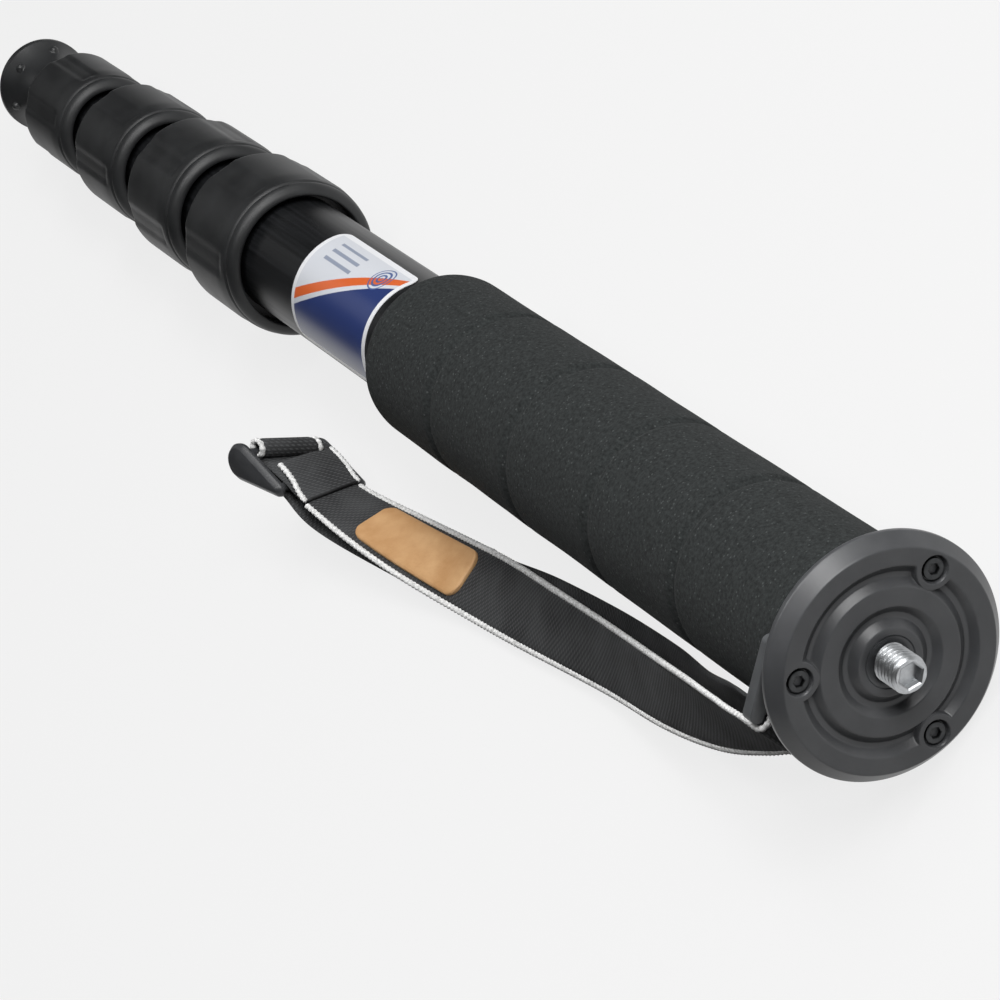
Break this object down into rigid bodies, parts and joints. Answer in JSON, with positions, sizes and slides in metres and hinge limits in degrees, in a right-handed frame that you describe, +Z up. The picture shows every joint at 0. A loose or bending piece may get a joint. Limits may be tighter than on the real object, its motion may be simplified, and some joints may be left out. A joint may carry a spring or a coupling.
{
  "type": "camera monopod",
  "caption": "Folded telescopic camera monopod with a round head plate and threaded stud, foam grip, twist-lock collars, rubber foot and webbing wrist strap.",
  "frame": {"origin": "middle of the head plate's flat face, on the axis of the camera stud", "axes": "+X out of the plate along the camera stud, away from the foot; +Z up as the monopod lies on the floor; the strap lies on the -Y side"},
  "size_m": [0.5924, 0.0925, 0.0616],
  "materials": {
    "plate": "satin dark grey anodised",
    "black_steel": "black oxide",
    "steel": "bright turned",
    "casting": "cast, dark grey",
    "bracket": "smooth dark grey paint",
    "foam": "closed-cell foam, matte",
    "label": "printed film",
    "tube": "black anodised, drawn",
    "bush": "white moulded",
    "sleeve": "machined",
    "nut": "black moulded",
    "grip_rubber": "matte moulded",
    "foot_rubber": "satin moulded",
    "webbing": "woven, pale corded edges",
    "slider": "moulded",
    "leather": "tan, sewn on"
  },
  "bodies": {
    "head": {"top_plate": "plate", "plate_screws": "black_steel", "camera_stud": "steel", "head_plug": "casting", "strap_bracket": "bracket", "foam_grip": "foam", "tube_label": "label", "tube_1": "tube", "thread_sleeve_1": "sleeve", "collet_1": "bush"},
    "leg_2": {"tube_2": "tube", "guide_bush_2": "bush", "thread_sleeve_2": "sleeve", "collet_2": "bush"},
    "leg_3": {"tube_3": "tube", "guide_bush_3": "bush", "thread_sleeve_3": "sleeve", "collet_3": "bush"},
    "leg_4": {"tube_4": "tube", "guide_bush_4": "bush", "thread_sleeve_4": "sleeve", "collet_4": "bush"},
    "leg_5": {"tube_5": "tube", "guide_bush_5": "bush", "foot_plug": "casting", "rubber_foot": "foot_rubber", "foot_washer": "steel", "foot_screw": "steel"},
    "lock_1": {"lock_nut_1": "nut", "lock_grip_1": "grip_rubber"},
    "lock_2": {"lock_nut_2": "nut", "lock_grip_2": "grip_rubber"},
    "lock_3": {"lock_nut_3": "nut", "lock_grip_3": "grip_rubber"},
    "lock_4": {"lock_nut_4": "nut", "lock_grip_4": "grip_rubber"},
    "strap": {"wrist_strap": "webbing", "strap_slider": "slider", "leather_patch": "leather"}
  },
  "joints": [
    {"name": "leg_2_slide", "type": "slide", "parent": "head", "child": "leg_2", "axis": [-1, 0, 0], "range_m": [0, 0.29]},
    {"name": "leg_3_slide", "type": "slide", "parent": "leg_2", "child": "leg_3", "axis": [-1, 0, 0], "range_m": [0, 0.29]},
    {"name": "leg_4_slide", "type": "slide", "parent": "leg_3", "child": "leg_4", "axis": [-1, 0, 0], "range_m": [0, 0.29]},
    {"name": "leg_5_slide", "type": "slide", "parent": "leg_4", "child": "leg_5", "axis": [-1, 0, 0], "range_m": [0, 0.29]},
    {"name": "lock_1_turn", "type": "hinge", "parent": "head", "child": "lock_1", "pos_m": [-0.372, 0, 0], "axis": [-1, 0, 0], "range_deg": [0, 120]},
    {"name": "lock_2_turn", "type": "hinge", "parent": "leg_2", "child": "lock_2", "pos_m": [-0.4255, 0, 0], "axis": [-1, 0, 0], "range_deg": [0, 120]},
    {"name": "lock_3_turn", "type": "hinge", "parent": "leg_3", "child": "lock_3", "pos_m": [-0.479, 0, 0], "axis": [-1, 0, 0], "range_deg": [0, 120]},
    {"name": "lock_4_turn", "type": "hinge", "parent": "leg_4", "child": "lock_4", "pos_m": [-0.5325, 0, 0], "axis": [-1, 0, 0], "range_deg": [0, 120]},
    {"name": "strap_swing", "type": "hinge", "parent": "head", "child": "strap", "pos_m": [-0.0145, -0.0277, 0], "axis": [0, 0, 1], "range_deg": [0, 90]}
  ]
}
